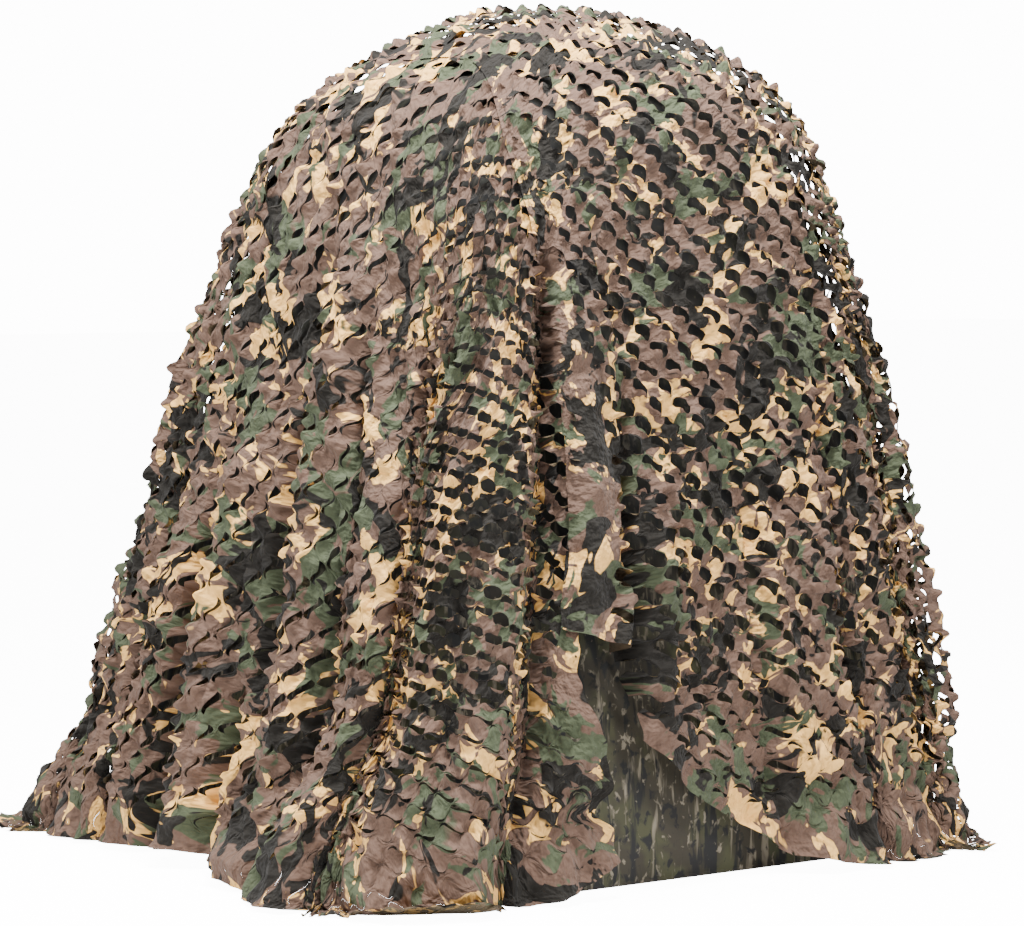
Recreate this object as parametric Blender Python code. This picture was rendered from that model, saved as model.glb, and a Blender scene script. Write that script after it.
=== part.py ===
# Camouflage net thrown over a square pop-up blind: a floorless cloth shell and two
# lapped widths of net, each a thin solid in its real draped shape.
import math

import bmesh
import bpy
import numpy as np
from mathutils import Matrix

# ---- driving sizes, metres -------------------------------------------------------
ROOF = 1.760             # the net's underside at the middle of the roof, but for the lap
NET_LENGTH = 4.30        # each width, from hem to hem over the roof
JOIN_X = -0.445          # flat line where the right width laps over the left one
LAP = 0.05               # how far the two widths overlap
FLOOR_REACH = 2.12       # from the roof's middle to the side hems, along the cloth
CLOTH = 0.0025           # thickness of the net, square to the blind
LAP_GAP = 0.0008         # air between the lapped widths
STAND_OFF = 0.012        # how far the right width's loose corner stands off
LOOSE_FROM = 1.15        # distance down the front where that corner begins
LOOSE_TO_X = -0.22       # and flat X where it ends
ROOF_DRIFT = 0.12        # the join is askew: over the roof it lies this much nearer the middle
DRIFT_FROM, DRIFT_LENGTH = 0.15, 0.45    # distances down the front and back where that fades
DRIFT_REACH = 0.80       # and how far beside the join the cloth moves with it
FOOT_DRIFT = -0.065      # low down the front it is pulled aside
FOOT_DRIFT_AT, FOOT_DRIFT_LENGTH, FOOT_DRIFT_REACH = 1.66, 0.24, 0.30
SELVAGE_DRIFT = -0.045   # and the left width's selvage a little further, below the right one's hem
MESH_STEP = 0.091        # grid of the draped solids, along the flat cloth
RING_POWER = 4.0         # flat rings are rounded squares of this power
TAKE_UP_POWER = 1.5      # how late, towards a corner, a ring's spare cloth is taken up
NUDGE = 0.001            # step along the cloth that slopes are taken over

BLIND_WALL = 0.003
BLIND_HEM = 0.012        # the base hem is thicker, round its hoop
BLIND_HEM_HEIGHT = 0.040
BLIND_SIDES = 40         # facets round the blind
SEAT_GAP = 0.0003        # between the blind's crown and the net lying on it

# The net's mean surface, from the roof's middle down the middle of a side. Slack is
# the cloth's length over the section's own: more than 1 where it lies crumpled.
# height, half width, squareness of the plan, slack
NET_SECTIONS = (
    (ROOF, 0.000, 2.0, 1.0),
    (ROOF, 0.100, 2.0, 1.0),
    (1.722, 0.248, 2.2, 1.0),
    (1.650, 0.378, 2.4, 1.0),
    (1.520, 0.498, 2.8, 1.0),
    (1.390, 0.540, 3.2, 1.0),
    (1.130, 0.597, 3.8, 1.0),
    (0.870, 0.642, 4.4, 1.0),
    (0.610, 0.688, 5.0, 1.0),
    (0.350, 0.728, 5.5, 1.0),
    (0.100, 0.765, 5.5, 1.0),
    (0.000, 0.790, 5.2, 1.0),
    (0.000, 0.850, 3.8, 2.8),
    (0.000, 0.930, 2.9, 3.0),
)

# The dome leans a little, more at the roof.
# height, X, Y
LEAN = (
    (0.000, 0.000, 0.000),
    (0.350, 0.010, -0.006),
    (0.870, 0.026, -0.018),
    (1.390, 0.036, -0.028),
    (ROOF, 0.050, -0.038),
)

# The blind stands inside those sections, clear of the net's troughs.
# height, half width, squareness of the plan
BLIND_SECTIONS = (
    (0.000, 0.690, 6.0),
    (0.040, 0.690, 6.0),
    (0.350, 0.660, 5.6),
    (0.610, 0.622, 5.2),
    (0.870, 0.580, 4.6),
    (1.130, 0.540, 4.0),
    (1.390, 0.490, 3.4),
    (1.520, 0.440, 3.0),
    (1.640, 0.335, 2.5),
    (1.700, 0.220, 2.2),
    (1.738, 0.105, 2.0),
    (ROOF + CLOTH + LAP_GAP - SEAT_GAP, 0.030, 2.0),
)

# Main folds. Each runs straight down a side, so its place is a share of the half
# width: front -1 to 1 from left to right, left side -3 to -1 from back to front,
# right side 1 to 3 from front to back, back 3 to 5. A negative depth is a ridge.
# place, depth, half width, lowest height, highest height
MAIN_FOLDS = (
    (-2.72, -0.010, 0.090, 0.00, 0.90),
    (-2.44, -0.036, 0.060, 0.00, 0.80),
    (-2.26, 0.056, 0.055, 0.00, 0.80),
    (-2.07, -0.052, 0.060, 0.00, 1.00),
    (-1.83, 0.056, 0.055, 0.40, 1.30),
    (-1.65, -0.048, 0.060, 0.25, 1.30),
    (-1.52, 0.034, 0.050, 0.05, 0.62),
    (-1.36, 0.028, 0.050, 0.90, 1.42),
    (-1.14, -0.030, 0.080, 0.00, 1.00),
    (-0.86, -0.024, 0.070, 0.00, 1.20),
    (-0.71, 0.044, 0.042, 0.15, 1.30),
    (-0.54, -0.024, 0.045, 0.25, 1.30),
    (-0.39, 0.036, 0.032, 0.20, 0.95),
    (-0.26, -0.030, 0.045, 0.00, 0.85),
    (0.10, 0.016, 0.090, 0.00, 1.10),
    (0.48, -0.020, 0.080, 0.00, 0.90),
    (0.78, 0.026, 0.060, 0.05, 1.00),
    (1.20, 0.030, 0.070, 0.00, 1.10),
    (1.70, 0.034, 0.060, 0.00, 0.90),
    (2.25, 0.030, 0.070, 0.00, 1.20),
    (3.15, 0.030, 0.070, 0.00, 1.00),
    (3.70, 0.034, 0.060, 0.00, 0.80),
    (4.30, 0.030, 0.070, 0.00, 1.20),
    (4.80, 0.026, 0.060, 0.00, 0.90),
)

# Gathers that repeat between the main folds, deeper where more cloth is taken up.
GATHERS_ROUND = 17
GATHER_SHARE = 0.80      # part of the spare cloth that the gathers take
GATHER_LIMIT = 0.034     # deepest gather
GATHER_START = 1.15      # distance along the cloth where they begin
GATHER_EASE = 0.60       # and how far on they are full
TIGHTEST = 0.25          # least width a ring keeps of the flat cloth's
DEEPEST_TROUGH = 0.055
FOLD_FOOT = 0.16         # a main fold comes in over this height at its low end
FOLD_HEAD = 0.25         # and goes over this height at its high end
WALL_END = FLOOR_REACH - 0.25    # the wall's slope is kept from here on to the hem
FLOOR_EASE = 0.12        # distance over which the folds turn to crumples on the floor
FLOOR_CRUMPLE = 0.50     # height of the crumples on the floor, as part of the folds' depth
TURN_START = FLOOR_REACH - 0.10  # from here the cloth's thickness turns straight up
TURN_LENGTH = 0.16

# Where the foot of the cloth is pulled out over the floor.
# direction X, direction Y, spread of the pull (radians), start along the cloth, reach X, reach Y
PULLS = (
    (-0.86, -0.50, 0.42, 1.72, -0.12, 0.02),
    (-0.76, 0.66, 0.25, 1.85, -0.05, 0.00),
    (0.80, -0.60, 0.40, 1.30, -0.040, 0.030),
    (0.40, -0.78, 0.30, 1.90, 0.00, -0.03),
)

# Hem of each width at the front, as a distance along the cloth from the roof's middle.
# flat X, distance
RIGHT_FRONT_HEM = (
    (JOIN_X - LAP / 2, 1.59),
    (-0.265, 1.66),
    (-0.245, 1.83),
    (-0.12, 1.95),
    (-0.02, 2.00),
    (0.14, 2.08),
    (0.60, NET_LENGTH / 2),
)
LEFT_FRONT_HEM = (
    (-0.90, NET_LENGTH / 2),
    (-0.66, 2.13),
    (JOIN_X + LAP / 2, 2.05),
)
# Hem of each width at its side, in the same way.
# flat Y, distance
LEFT_SIDE_HEM = (
    (-0.60, FLOOR_REACH),
    (-0.25, FLOOR_REACH - 0.03),
    (0.05, FLOOR_REACH - 0.075),
    (0.38, FLOOR_REACH - 0.045),
    (0.80, FLOOR_REACH),
)
RIGHT_SIDE_HEM = ((0.00, FLOOR_REACH),)
LEVEL_REACH = 1.20       # rows nearer the roof than this stay level and match at the lap


def smooth(x, xs, ys):
    # Monotone cubic through a short table, held flat past its ends.
    xs, ys = np.asarray(xs, float), np.asarray(ys, float)
    step = np.diff(xs)
    slope = np.diff(ys) / step
    both = slope[:-1] * slope[1:]
    inner = np.where(both > 0, 2 * both / np.where(both > 0, slope[:-1] + slope[1:], 1), 0)
    tangent = np.concatenate(([slope[0]], inner, [slope[-1]]))
    x = np.clip(x, xs[0], xs[-1])
    i = np.clip(np.searchsorted(xs, x) - 1, 0, len(step) - 1)
    t = (x - xs[i]) / step[i]
    return ((1 + 2 * t) * (1 - t) ** 2 * ys[i] + t * (1 - t) ** 2 * step[i] * tangent[i]
            + t * t * (3 - 2 * t) * ys[i + 1] + t * t * (t - 1) * step[i] * tangent[i + 1])


def ease(t):
    t = np.clip(t, 0, 1)
    return t * t * (3 - 2 * t)


SECTION_HEIGHT, SECTION_HALF, SECTION_POWER, SLACK = (np.array(c) for c in zip(*NET_SECTIONS))
SECTION_REACH = np.concatenate(
    ([0], np.cumsum(np.hypot(np.diff(SECTION_HEIGHT), np.diff(SECTION_HALF)) * SLACK[1:])))


def lean_at(height):
    heights, lean_x, lean_y = zip(*LEAN)
    height = np.asarray(height, float)
    return np.stack((smooth(height, heights, lean_x), smooth(height, heights, lean_y),
                     np.zeros_like(height)), axis=-1)


def mean_surface(x, y):
    # Where a point of the flat cloth lies on the net's mean surface, without folds.
    reach = np.maximum((np.abs(x) ** RING_POWER + np.abs(y) ** RING_POWER) ** (1 / RING_POWER), 1e-6)
    half = smooth(reach, SECTION_REACH, SECTION_HALF)
    height = smooth(reach, SECTION_REACH, SECTION_HEIGHT)
    power = smooth(reach, SECTION_REACH, SECTION_POWER)
    spare = np.maximum(reach / np.maximum(half, 1e-6), 1)
    across = share(x / reach, spare)
    along = share(y / reach, spare)
    norm = (np.abs(across) ** power + np.abs(along) ** power) ** (1 / power)
    across, along = across / norm, along / norm
    out = np.stack((np.sign(across) * np.abs(across) ** (power - 1),
                    np.sign(along) * np.abs(along) ** (power - 1)), axis=-1)
    out /= np.maximum(np.linalg.norm(out, axis=-1, keepdims=True), 1e-9)
    return np.stack((half * across, half * along, height), axis=-1), out, reach, half


def share(a, spare):
    # Cloth lies at its own width in the middle of a side and is taken up at the corners.
    taken = (spare ** TAKE_UP_POWER - 1) * np.abs(a) ** TAKE_UP_POWER
    return a * spare / (1 + taken) ** (1 / TAKE_UP_POWER)


def place_round(point):
    # The place on the sides that MAIN_FOLDS names.
    x, y = point[..., 0], point[..., 1]
    big = np.maximum(np.maximum(np.abs(x), np.abs(y)), 1e-6)
    u, v = x / big, y / big
    front, back, left = (v <= -1), (v >= 1), (u <= -1)
    place = np.where(front, u, np.where(back, 4 - u, np.where(left, -2 - v, 2 + v)))
    return place


def fold_depth(x, y, point, reach, half):
    place = place_round(point)
    depth = np.zeros_like(reach)
    for where, deep, width, low, high in MAIN_FOLDS:
        away = np.abs(place - where)
        away = np.minimum(away, 8 - away) * half
        tall = (ease((point[..., 2] - low) / FOLD_FOOT + 0.6)
                * ease((high - point[..., 2]) / FOLD_HEAD))
        depth -= deep * np.exp(-(away / width) ** 2) * tall
    # gathers: the spare cloth round a ring decides how deep they are
    turn = np.arctan2(y, x)
    beside = mean_surface(x - np.sin(turn) * NUDGE, y + np.cos(turn) * NUDGE)[0]
    kept = np.clip(np.linalg.norm(beside - point, axis=-1) / NUDGE, TIGHTEST, 1)
    wave = 2 * half / GATHERS_ROUND * np.sqrt(1 / kept - 1)
    size = np.minimum(wave * GATHER_SHARE, GATHER_LIMIT) * ease((reach - GATHER_START) / GATHER_EASE)
    phase = GATHERS_ROUND * turn + 0.9 * np.sin(3 * turn + 0.7) + 0.6 * np.sin(5 * turn + 2.1)
    depth += size * np.sin(phase) * (0.7 + 0.3 * np.sin(3 * reach + 2 * turn))
    return np.maximum(depth, -DEEPEST_TROUGH)


def drifted(x, y):
    over_roof = 1 - ease((np.abs(y) - DRIFT_FROM) / DRIFT_LENGTH)
    x = x + ROOF_DRIFT * over_roof * ease(1 - np.abs(x - JOIN_X) / DRIFT_REACH)
    low = np.exp(-((y + FOOT_DRIFT_AT) / FOOT_DRIFT_LENGTH) ** 2)
    return x + FOOT_DRIFT * low * ease(1 - np.abs(x - JOIN_X) / FOOT_DRIFT_REACH)


def drape(x, y):
    # Flat cloth to its place over the blind and out over the floor, and the smooth
    # direction, away from the blind, in which the cloth has its thickness.
    x = drifted(x, y)
    point, out, reach, half = mean_surface(x, y)
    on_wall = np.minimum(reach, WALL_END)
    fall = (smooth(on_wall + NUDGE, SECTION_REACH, SECTION_HEIGHT)
            - smooth(on_wall, SECTION_REACH, SECTION_HEIGHT)) / NUDGE
    lean = np.clip(-fall, 0, 1)
    normal = np.stack((out[..., 0] * lean, out[..., 1] * lean, np.sqrt(1 - lean ** 2)), axis=-1)
    depth = fold_depth(x, y, point, reach, half)
    point = point + normal * depth[..., None]
    on_floor = ease((reach - FLOOR_REACH) / FLOOR_EASE)
    point[..., 2] += FLOOR_CRUMPLE * np.abs(depth) * on_floor
    for to_x, to_y, spread, start, reach_x, reach_y in PULLS:
        angle = np.arctan2(point[..., 1], point[..., 0]) - math.atan2(to_y, to_x)
        angle = (angle + np.pi) % (2 * np.pi) - np.pi
        pull = np.exp(-(angle / spread) ** 2) * ease((reach - start) / (FLOOR_REACH - start))
        point = point + pull[..., None] * np.array((reach_x, reach_y, 0))
    point[..., 2] = np.maximum(point[..., 2], 0)
    up = np.array((0.0, 0.0, 1.0))
    turned = ease((reach - TURN_START) / TURN_LENGTH)[..., None]
    normal = normal * (1 - turned) + up * turned
    normal /= np.linalg.norm(normal, axis=-1, keepdims=True)
    return point + lean_at(point[..., 2]), normal


def material(name, colour, roughness):
    made = bpy.data.materials.new(name)
    made.use_nodes = True
    shader = made.node_tree.nodes["Principled BSDF"]
    shader.inputs["Base Color"].default_value = (*colour, 1)
    shader.inputs["Roughness"].default_value = roughness
    shader.inputs["Metallic"].default_value = 0.0
    made.diffuse_color = (*colour, 1)
    return made


def add_object(name, bm, finish):
    mesh = bpy.data.meshes.new(name)
    bm.to_mesh(mesh)
    bm.free()
    mesh.materials.append(finish)
    piece = bpy.data.objects.new(name, mesh)
    bpy.context.scene.collection.objects.link(piece)
    return piece


def shorten(across, full, hem):
    # Draws the cloth between LEVEL_REACH and its full length in to the hem.
    drawn = LEVEL_REACH + (-across - LEVEL_REACH) * (hem - LEVEL_REACH) / (full - LEVEL_REACH)
    return np.where(across < -LEVEL_REACH, -drawn, across)


def net_width(name, columns, front_hem, side_hem, lift_at, selvage_drift, finish):
    # A flat grid of the cloth, shortened to its hem and laid over the blind.
    rows = int(round(NET_LENGTH / MESH_STEP))
    bm = bmesh.new()
    bmesh.ops.create_grid(bm, x_segments=len(columns) - 1, y_segments=rows, size=1)
    flat = np.array([vert.co[:2] for vert in bm.verts])
    x = np.interp(flat[:, 0], np.linspace(-1, 1, len(columns)), columns)
    y = flat[:, 1] * NET_LENGTH / 2
    x, y = (shorten(x, FLOOR_REACH, np.interp(y, *zip(*side_hem))),
            shorten(y, NET_LENGTH / 2, np.interp(x, *zip(*front_hem))))
    bmesh.ops.triangulate(bm, faces=bm.faces, quad_method="FIXED")
    low = np.exp(-((y + FOOT_DRIFT_AT) / FOOT_DRIFT_LENGTH) ** 2)
    near = ease(1 - np.abs(x - JOIN_X) / FOOT_DRIFT_REACH)
    point, normal = drape(x + selvage_drift * low * near, y)
    lift = lift_at(x, y)[:, None]
    under = bm.verts[:]
    rim = [edge.verts[:] for edge in bm.edges if edge.is_boundary]
    copy = bmesh.ops.duplicate(bm, geom=bm.verts[:] + bm.edges[:] + bm.faces[:])["vert_map"]
    bmesh.ops.reverse_faces(bm, faces=[face for face in bm.faces if face.verts[0] in set(under)])
    for vert, low, high in zip(under, point + normal * lift, point + normal * (lift + CLOTH)):
        vert.co = low
        copy[vert].co = high
    for a, b in rim:
        bm.faces.new((a, b, copy[b], copy[a]))
    bmesh.ops.recalc_face_normals(bm, faces=bm.faces)
    return add_object(name, bm, finish)


def left_lift(x, y):
    return np.zeros_like(x)


def right_lift(x, y):
    # The right width lies on the left one, and its loose front corner stands off.
    loose = ease((-y - LOOSE_FROM) / 0.25) * ease((LOOSE_TO_X - x) / 0.16)
    reach = np.maximum(np.abs(x), np.abs(y))
    # away from the lap it comes down to the floor, with its foot on it
    down = ease((reach - FLOOR_REACH + 0.40) / 0.30) * ease((x - JOIN_X - LAP) / 0.20)
    return (CLOTH + LAP_GAP) * (1 - down) + STAND_OFF * loose


def columns_between(start, end):
    return np.linspace(start, end, int(round(abs(end - start) / MESH_STEP)) + 1)


def rounded_square(half, power, height):
    turns = (np.arange(BLIND_SIDES) + 0.5) * 2 * np.pi / BLIND_SIDES
    c, s = np.cos(turns), np.sin(turns)
    size = half / (np.abs(c) ** power + np.abs(s) ** power) ** (1 / power)
    lean_x, lean_y, _ = lean_at(max(height, 0))
    return [(size[i] * c[i] + lean_x, size[i] * s[i] + lean_y, height) for i in range(BLIND_SIDES)]


def set_ring(verts, ring):
    for vert, co in zip(verts, ring):
        vert.co = co


def next_ring(bm, verts, edges, ring):
    # Extrudes a ring of the loft; the new ring's points keep the order of the old one's.
    old = set(verts)
    made = bmesh.ops.extrude_edge_only(bm, edges=edges)["geom"]
    follow = {}
    for face in (item for item in made if isinstance(item, bmesh.types.BMFace)):
        for edge in face.edges:
            a, b = edge.verts
            if (a in old) != (b in old):
                follow[a if a in old else b] = b if a in old else a
    new_verts = [follow[vert] for vert in verts]
    set_ring(new_verts, ring)
    return new_verts, [item for item in made if isinstance(item, bmesh.types.BMEdge)]


def blind_shell(finish):
    # One closed section, up the outside and down the inside, lofted round the plan.
    outside = [rounded_square(half, power, height) for height, half, power in BLIND_SECTIONS]
    inside = [rounded_square(half - BLIND_WALL, power, height - BLIND_WALL)
              for height, half, power in reversed(BLIND_SECTIONS[2:])]
    base_half, base_power = BLIND_SECTIONS[0][1:]
    inside.append(rounded_square(base_half - BLIND_HEM, base_power, BLIND_HEM_HEIGHT))
    inside.append(rounded_square(base_half - BLIND_HEM, base_power, 0.0))
    bm = bmesh.new()
    first = bmesh.ops.create_circle(bm, segments=BLIND_SIDES, radius=1)["verts"]
    edges = bm.edges[:]
    set_ring(first, outside[0])
    verts = first
    for ring in outside[1:]:
        verts, edges = next_ring(bm, verts, edges, ring)
    bmesh.ops.contextual_create(bm, geom=edges)
    crown_inside = bmesh.ops.create_circle(bm, segments=BLIND_SIDES, radius=1)["verts"]
    edges = [edge for edge in bm.edges if edge.verts[0] in crown_inside]
    set_ring(crown_inside, inside[0])
    bmesh.ops.contextual_create(bm, geom=edges)
    verts = crown_inside
    for ring in inside[1:]:
        verts, edges = next_ring(bm, verts, edges, ring)
    base_edges = [edge for edge in bm.edges if edge.is_boundary]
    bmesh.ops.bridge_loops(bm, edges=base_edges)
    bmesh.ops.recalc_face_normals(bm, faces=bm.faces)
    return add_object("blind_shell", bm, finish)


def centre_on_footprint():
    # The origin is on the floor, in the middle of the ground that everything covers.
    pieces = list(bpy.data.objects)
    corners = np.array([vert.co for piece in pieces for vert in piece.data.vertices])
    middle = (corners.min(axis=0) + corners.max(axis=0)) / 2
    for piece in pieces:
        piece.data.transform(Matrix.Translation((-middle[0], -middle[1], 0)))


def main():
    for item in list(bpy.data.objects):
        bpy.data.objects.remove(item, do_unlink=True)
    net_finish = material("camouflage_net", (0.24, 0.19, 0.13), 0.85)
    blind_finish = material("blind_fabric", (0.06, 0.06, 0.045), 0.8)
    seam_low, seam_high = JOIN_X - LAP / 2, JOIN_X + LAP / 2
    left = np.append(columns_between(-FLOOR_REACH, seam_low), seam_high)
    right = np.insert(columns_between(seam_high, FLOOR_REACH), 0, seam_low)
    blind_shell(blind_finish)
    net_width("net_left_width", left, LEFT_FRONT_HEM, LEFT_SIDE_HEM, left_lift,
              SELVAGE_DRIFT, net_finish)
    net_width("net_right_width", right, RIGHT_FRONT_HEM, RIGHT_SIDE_HEM, right_lift,
              0.0, net_finish)
    centre_on_footprint()


main()
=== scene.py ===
# Looks for the camouflage net on its pop-up blind: the slit net, its print and folds,
# and the blind's printed cloth.
import math

import bmesh
import bpy
import numpy as np
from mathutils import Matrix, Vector


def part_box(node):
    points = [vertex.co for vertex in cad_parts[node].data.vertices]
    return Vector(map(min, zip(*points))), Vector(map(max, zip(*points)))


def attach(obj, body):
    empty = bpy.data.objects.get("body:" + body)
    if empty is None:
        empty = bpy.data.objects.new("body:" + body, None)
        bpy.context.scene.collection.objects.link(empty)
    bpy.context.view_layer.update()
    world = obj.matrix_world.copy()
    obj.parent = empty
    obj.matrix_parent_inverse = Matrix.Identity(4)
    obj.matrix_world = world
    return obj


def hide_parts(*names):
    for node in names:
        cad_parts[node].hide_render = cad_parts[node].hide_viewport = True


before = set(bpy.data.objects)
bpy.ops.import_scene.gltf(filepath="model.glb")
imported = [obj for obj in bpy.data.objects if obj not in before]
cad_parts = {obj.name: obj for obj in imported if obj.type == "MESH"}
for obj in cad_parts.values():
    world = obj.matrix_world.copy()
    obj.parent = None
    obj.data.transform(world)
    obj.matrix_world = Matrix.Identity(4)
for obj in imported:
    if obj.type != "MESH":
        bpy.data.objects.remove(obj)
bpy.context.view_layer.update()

cloth = {
    "netLength": 4.30,       # each width, from hem to hem over the roof
    "joinX": -0.445,         # flat line where the right width laps over the left one
    "lap": 0.05,
    "roofDrift": 0.12,       # the join is askew: over the roof it lies nearer the middle
    "driftFrom": 0.15,
    "driftLength": 0.45,
    "driftReach": 0.80,
    "footDrift": -0.065,     # low down the front it is pulled aside
    "footDriftAt": 1.66,
    "footDriftLength": 0.24,
    "footDriftReach": 0.30,
    "selvageDrift": -0.045,  # the left width's selvage goes a little further
    "floorReach": 2.12,      # along the cloth from the roof's middle to the side hems
    "thick": 0.0025,
    "lapGap": 0.0008,
    "standOff": 0.012,       # how far the right width's loose corner stands off
    "looseFrom": 1.15,
    "looseToX": -0.22,
    "ringPower": 4.0,
    "takeUpPower": 1.5,
    "footHalf": 0.69,        # half of the blind's foot
}

# height, half width, squareness of the plan, slack
netSections = (
    (1.760, 0.000, 2.0, 1.0),
    (1.760, 0.090, 2.0, 1.0),
    (1.722, 0.236, 2.2, 1.0),
    (1.650, 0.378, 2.4, 1.0),
    (1.520, 0.498, 2.8, 1.0),
    (1.390, 0.540, 3.2, 1.0),
    (1.130, 0.597, 3.8, 1.0),
    (0.870, 0.642, 4.4, 1.0),
    (0.610, 0.688, 5.0, 1.0),
    (0.350, 0.728, 5.5, 1.0),
    (0.100, 0.765, 5.5, 1.0),
    (0.000, 0.790, 5.2, 1.0),
    (0.000, 0.850, 3.8, 1.15),
    (0.000, 0.930, 2.9, 1.20),
)

# height, X, Y
leanTable = (
    (0.000, 0.000, 0.000),
    (0.350, 0.010, -0.006),
    (0.870, 0.026, -0.018),
    (1.390, 0.036, -0.028),
    (1.700, 0.064, -0.048),
    (1.760, 0.046, -0.036),
)

# place round the sides, depth, half width, lowest height, highest height
mainFolds = (
    (-2.96, -0.012, 0.090, 0.00, 0.75),
    (-2.96, 0.012, 0.120, 1.10, 1.36),
    (-2.41, -0.044, 0.070, 0.00, 0.80),
    (-2.25, 0.110, 0.032, 0.00, 0.80),
    (-2.08, -0.056, 0.070, 0.00, 1.00),
    (-1.94, 0.060, 0.024, 0.00, 0.48),
    (-1.83, 0.110, 0.030, 0.45, 1.30),
    (-1.66, -0.056, 0.066, 0.25, 1.35),
    (-1.52, 0.034, 0.050, 0.05, 0.62),
    (-1.36, 0.028, 0.050, 0.90, 1.42),
    (-1.14, -0.030, 0.080, 0.00, 1.00),
    (-0.86, -0.024, 0.070, 0.00, 1.20),
    (-0.69, 0.080, 0.020, 0.15, 1.32),
    (-0.55, -0.030, 0.050, 0.25, 1.30),
    (-0.38, 0.070, 0.016, 0.25, 0.95),
    (-0.27, -0.036, 0.040, 0.00, 0.85),
    (0.10, 0.016, 0.090, 0.00, 1.10),
    (0.48, -0.020, 0.080, 0.00, 0.90),
    (0.78, 0.026, 0.060, 0.05, 1.00),
    (1.07, -0.020, 0.100, 0.30, 0.78),
    (1.07, 0.012, 0.120, 1.02, 1.36),
    (1.20, 0.030, 0.070, 0.00, 1.10),
    (1.70, 0.034, 0.060, 0.00, 0.90),
    (2.25, 0.030, 0.070, 0.00, 1.20),
    (3.15, 0.030, 0.070, 0.00, 1.00),
    (3.70, 0.034, 0.060, 0.00, 0.80),
    (4.30, 0.030, 0.070, 0.00, 1.20),
    (4.80, 0.026, 0.060, 0.00, 0.90),
)

gathers = {
    "round": 17,             # wide gathers round the net
    "share": 0.80,
    "limit": 0.034,
    "start": 1.15,
    "easeOver": 0.60,
    "tightest": 0.25,
    "deepest": 0.055,
    "crumple": 0.014,        # the cloth gathered by the floor
    "floorCrumple": 0.50,
}

# places of the tucks that hide spare cloth
tucks = (-2.73, -2.50, -2.25, -1.83, -1.53, -1.28, -0.69, -0.38, 0.10, 0.46, 0.78, 1.27,
         1.53, 1.83, 2.10, 2.45, 2.73, 3.27, 3.50, 3.75, 4.00, 4.35, 4.73)
tuck = {
    "from": 0.75,            # distance along the cloth where they begin
    "over": 0.60,
    "fullness": 0.86,        # of the cloth between two tucks, what its room is filled with
    "sharpness": 3.0,
    "deep": 0.052,
    "puff": 0.012,           # how far the cloth stands out between tucks
    "wander": 0.035,         # how far a tuck strays from its place
    "aside": 0.46,           # how far the front left corner's cloth is hidden to its left
}

# direction X, direction Y, spread, start along the cloth, reach X, reach Y
pulls = (
    (-0.86, -0.50, 0.42, 1.72, -0.143, 0.018),
    (-0.76, 0.66, 0.28, 1.80, -0.085, 0.034),
    (0.80, -0.60, 0.40, 1.30, -0.008, 0.006),
    (0.40, -0.78, 0.30, 1.90, 0.00, -0.03),
)

# hems as distances along the cloth from the roof's middle; flat place, distance
rightFrontHem = ((-0.53, 1.59), (-0.285, 1.655), (-0.280, 1.83), (-0.15, 1.95),
                 (-0.05, 2.00), (0.10, 2.08), (0.60, 2.15))
leftFrontHem = ((-0.90, 2.15), (-0.66, 2.13), (-0.42, 2.05))
leftSideHem = ((-0.60, 2.12), (-0.25, 2.10), (0.05, 2.08), (0.38, 2.105), (0.80, 2.12))

net = {
    "columnsPerSlit": 12,    # mesh columns a slit's pitch, with all but 2 of them cut
    "stepsPerRow": 4,        # mesh steps from row to row
    "slitBend": 0.012,       # depth of the S in each slit
    "holeHeight": 0.031,     # of a slit that is pulled fully open
    "holePinch": 0.34,       # how far its ends draw in
    "tongueLift": 0.017,     # how far the slit's tongues curl out
    "wander": 0.012,         # how far the rows of slits wander from straight
    "cornerReach": 2.27,     # the corners of the net are rounded off at this reach
    "border": 0.036,         # plain cloth along the hems, to the middle of the nearest slit
    "selvage": 0.060,        # and along the selvages
    "joinSelvage": 0.130,    # and low down along the right width's selvage at the join
    "pleatsRound": 58,       # narrow pleats where a ring's spare cloth is taken up
    "pleatLimit": 0.018,
    # the slit cloth's length over its length before it is pulled: assumed and not measured, and
    # the flat sizes of the net are worked out with it
    "pullOut": 1.50,
}


def smooth(x, xs, ys):
    # monotone cubic through a short table
    xs, ys = np.asarray(xs, float), np.asarray(ys, float)
    step = np.diff(xs)
    slope = np.diff(ys) / step
    both = slope[:-1] * slope[1:]
    inner = np.where(both > 0, 2 * both / np.where(both > 0, slope[:-1] + slope[1:], 1), 0)
    tangent = np.concatenate(([slope[0]], inner, [slope[-1]]))
    x = np.clip(x, xs[0], xs[-1])
    i = np.clip(np.searchsorted(xs, x) - 1, 0, len(step) - 1)
    t = (x - xs[i]) / step[i]
    return ((1 + 2 * t) * (1 - t) ** 2 * ys[i] + t * (1 - t) ** 2 * step[i] * tangent[i]
            + t * t * (3 - 2 * t) * ys[i + 1] + t * t * (t - 1) * step[i] * tangent[i + 1])


def ease(t):
    t = np.clip(t, 0, 1)
    return t * t * (3 - 2 * t)


def unevenness(x, y, size, seed):
    # smooth noise from -1 to 1 over the flat cloth, with lumps of about this size
    table = np.random.default_rng(seed).random((64, 64)) * 2 - 1
    u, v = x / size + 31.7, y / size + 17.3
    i, j = np.floor(u).astype(int), np.floor(v).astype(int)
    a, b = ease(u - i), ease(v - j)
    i, j, i2, j2 = i % 64, j % 64, (i + 1) % 64, (j + 1) % 64
    return ((table[i, j] * (1 - a) + table[i2, j] * a) * (1 - b)
            + (table[i, j2] * (1 - a) + table[i2, j2] * a) * b)


sectionHeight, sectionHalf, sectionPower, sectionSlack = (np.array(c) for c in zip(*netSections))
sectionReach = np.concatenate(
    ([0], np.cumsum(np.hypot(np.diff(sectionHeight), np.diff(sectionHalf)) * sectionSlack[1:])))

blindLow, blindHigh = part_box("blind_shell")
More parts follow.
